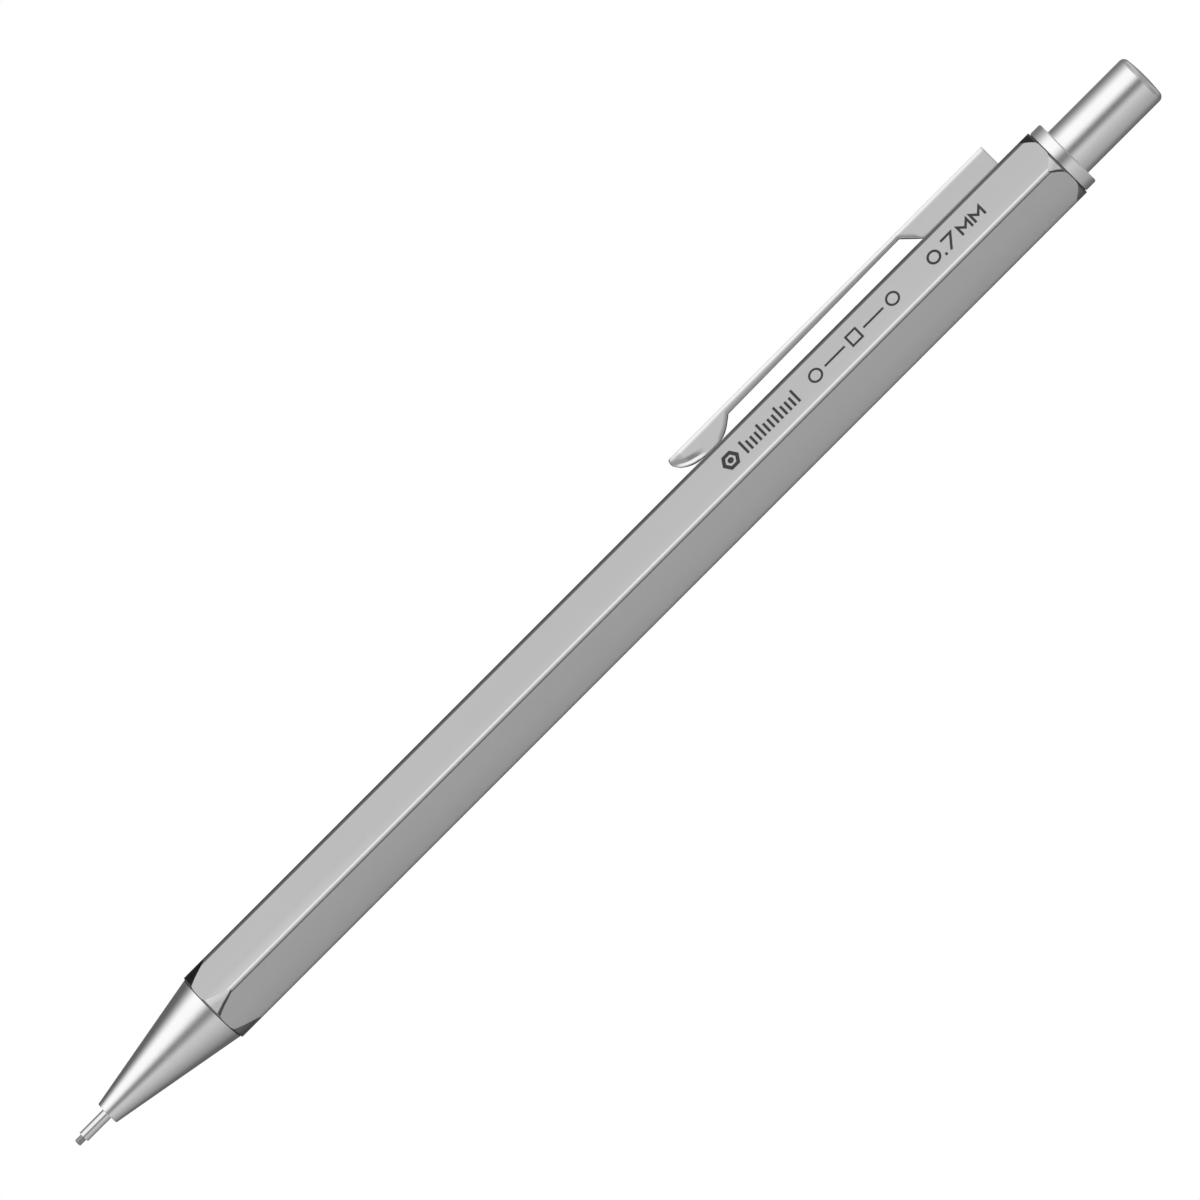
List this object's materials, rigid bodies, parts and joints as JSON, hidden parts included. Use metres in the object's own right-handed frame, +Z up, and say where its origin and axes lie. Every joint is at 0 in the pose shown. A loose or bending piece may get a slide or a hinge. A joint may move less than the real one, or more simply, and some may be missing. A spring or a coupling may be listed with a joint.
{
  "type": "mechanical pencil",
  "caption": "Hexagonal metal mechanical pencil with conical nose, fixed lead guide sleeve, sprung sheet-metal clip and push button over an eraser; writes and feeds lead",
  "frame": {"origin": "Midway along the pencil, on the surface that the bottom flat of the barrel rests on", "axes": "+X runs along the pencil from the lead tip to the push button, +Z is up with the clip on the top flat, and +Y completes the right-handed set; the two side ridges of the barrel point along -Y and +Y"},
  "size_m": [0.14, 0.0086, 0.0099],
  "materials": {
    "barrel_satin_chrome": "satin",
    "bright_chrome": "gloss",
    "clip_steel": "gloss",
    "sleeve_steel": "satin",
    "spring_steel": "satin",
    "brass": "satin",
    "white_plastic": "satin",
    "black_plastic": "matte",
    "black_rubber": "matte",
    "eraser_rubber": "matte",
    "graphite": "satin"
  },
  "bodies": {
    "barrel": {"barrel": "barrel_satin_chrome", "rear_collar": "bright_chrome", "thread_insert": "brass", "clutch_housing": "brass", "return_spring": "spring_steel", "clip_root": "clip_steel"},
    "nose": {"nose_cone": "bright_chrome", "lead_sleeve": "sleeve_steel", "lead_retainer": "black_rubber"},
    "feed": {"chuck_stem": "brass", "chuck_connector": "white_plastic", "lead_tube": "white_plastic", "eraser_ferrule": "sleeve_steel", "eraser": "eraser_rubber", "spare_leads": "graphite"},
    "clutch_ring": {"clutch_ring": "brass"},
    "lead": {"lead": "graphite"},
    "cap": {"push_button": "bright_chrome", "button_liner": "black_plastic"},
    "clip": {"clip_arm": "clip_steel"},
    "jaw_1": {"chuck_jaw_1": "brass"},
    "jaw_2": {"chuck_jaw_2": "brass"},
    "jaw_3": {"chuck_jaw_3": "brass"}
  },
  "joints": [
    {"name": "button_push", "type": "slide", "parent": "barrel", "child": "feed", "axis": [-1, 0, 0], "range_m": [0, 0.003], "stiffness_N_per_m": 900, "springref_m": -0.002, "deforming": ["return_spring"]},
    {"name": "clutch_ring_slide", "type": "slide", "parent": "barrel", "child": "clutch_ring", "axis": [-1, 0, 0], "range_m": [0, 0.001]},
    {"name": "lead_feed", "type": "slide", "parent": "barrel", "child": "lead", "axis": [-1, 0, 0], "range_m": [-0.0008, 0.012]},
    {"name": "cap_pull", "type": "slide", "parent": "feed", "child": "cap", "axis": [1, 0, 0], "range_m": [0, 0.0105]},
    {"name": "nose_unscrew", "type": "slide", "parent": "barrel", "child": "nose", "axis": [-1, 0, 0], "range_m": [0, 0.013]},
    {"name": "clip_flex", "type": "hinge", "parent": "barrel", "child": "clip", "pos_m": [0.044, 0, 0.00988], "axis": [0, 1, 0], "range_deg": [0, 6], "stiffness_Nm_per_rad": 1.5, "springref_deg": -1.72},
    {"name": "jaw_open_1", "type": "hinge", "parent": "feed", "child": "jaw_1", "pos_m": [-0.0539, 0, 0.00445], "axis": [0, 1, 0], "range_deg": [0, 2]},
    {"name": "jaw_open_2", "type": "hinge", "parent": "feed", "child": "jaw_2", "pos_m": [-0.0539, -0.00052, 0.00355], "axis": [0, -0.5, 0.866], "range_deg": [0, 2]},
    {"name": "jaw_open_3", "type": "hinge", "parent": "feed", "child": "jaw_3", "pos_m": [-0.0539, 0.00052, 0.00355], "axis": [0, -0.5, -0.866], "range_deg": [0, 2]}
  ],
  "couplings": [
    {"joint": "clutch_ring_slide", "follows": "button_push", "ratio": 0.33333},
    {"joint": "jaw_open_1", "follows": "button_push", "rad_per_m": 11.636},
    {"joint": "jaw_open_2", "follows": "button_push", "rad_per_m": 11.636},
    {"joint": "jaw_open_3", "follows": "button_push", "rad_per_m": 11.636}
  ]
}
